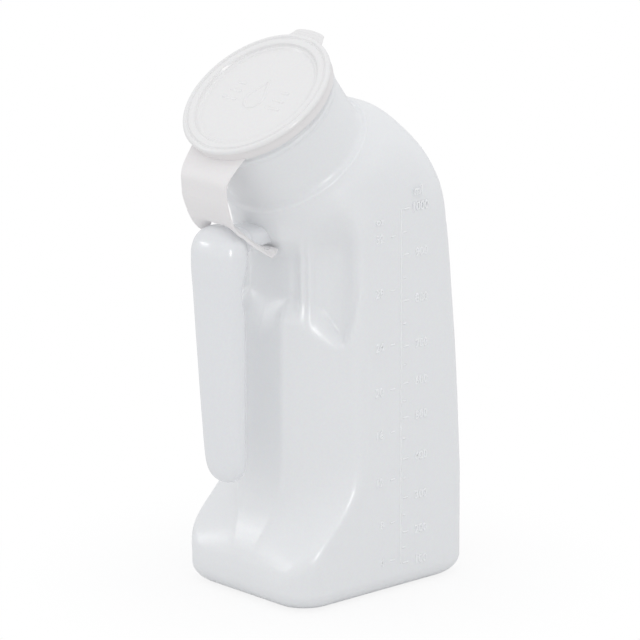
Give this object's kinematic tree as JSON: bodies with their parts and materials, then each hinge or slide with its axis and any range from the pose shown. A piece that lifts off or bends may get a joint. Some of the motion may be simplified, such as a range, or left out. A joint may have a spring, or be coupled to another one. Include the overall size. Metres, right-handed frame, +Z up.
{
  "type": "urine bottle",
  "caption": "Upright translucent urinal bottle with a forward-leaning wide neck, hook handle, raised volume scale and a snap cap on a flexible strap.",
  "frame": {"origin": "middle of the flat standing face, on the floor", "axes": "+Z up; -Y the front, where the handle hangs and the neck leans; +X the side with the volume scale"},
  "size_m": [0.0805, 0.1234, 0.2453],
  "materials": {
    "bottle_hdpe": "translucent milky polyethylene, satin",
    "handle_hdpe": "translucent milky polyethylene, satin",
    "scale_marks": "raised in the wall, same polyethylene",
    "cap_ldpe": "soft white polyethylene, low gloss",
    "strap_ldpe": "soft white polyethylene, matte"
  },
  "bodies": {
    "bottle": {"bottle_shell": "bottle_hdpe", "hook_handle": "handle_hdpe", "scale_numerals_ml": "scale_marks", "scale_numerals_oz": "scale_marks", "scale_ticks": "scale_marks"},
    "tether": {"tether_ring": "strap_ldpe"},
    "strap_low": {"strap_lower": "strap_ldpe"},
    "strap_high": {"strap_upper": "strap_ldpe"},
    "cap": {"strap_cap_root": "strap_ldpe", "cap_lid": "cap_ldpe", "cap_emblem": "cap_ldpe", "pull_tab": "cap_ldpe"}
  },
  "joints": [
    {"name": "ring_tilt", "type": "hinge", "parent": "bottle", "child": "tether", "pos_m": [0, -0.0497, 0.1626], "axis": [1, 0, 0], "range_deg": [-5, 0]},
    {"name": "strap_root", "type": "hinge", "parent": "tether", "child": "strap_low", "pos_m": [0, -0.0633, 0.1715], "axis": [1, 0, 0], "range_deg": [0, 30]},
    {"name": "strap_flex", "type": "hinge", "parent": "strap_low", "child": "strap_high", "pos_m": [0, -0.0717, 0.18166], "axis": [1, 0, 0], "range_deg": [0, 30]},
    {"name": "cap_hinge", "type": "hinge", "parent": "strap_high", "child": "cap", "pos_m": [0, -0.07013, 0.1967], "axis": [1, 0, 0], "range_deg": [0, 120]}
  ],
  "couplings": [
    {"joint": "ring_tilt", "follows": "cap_hinge", "ratio": -0.04},
    {"joint": "strap_root", "follows": "cap_hinge", "ratio": 0.25},
    {"joint": "strap_flex", "follows": "cap_hinge", "ratio": 0.25}
  ]
}
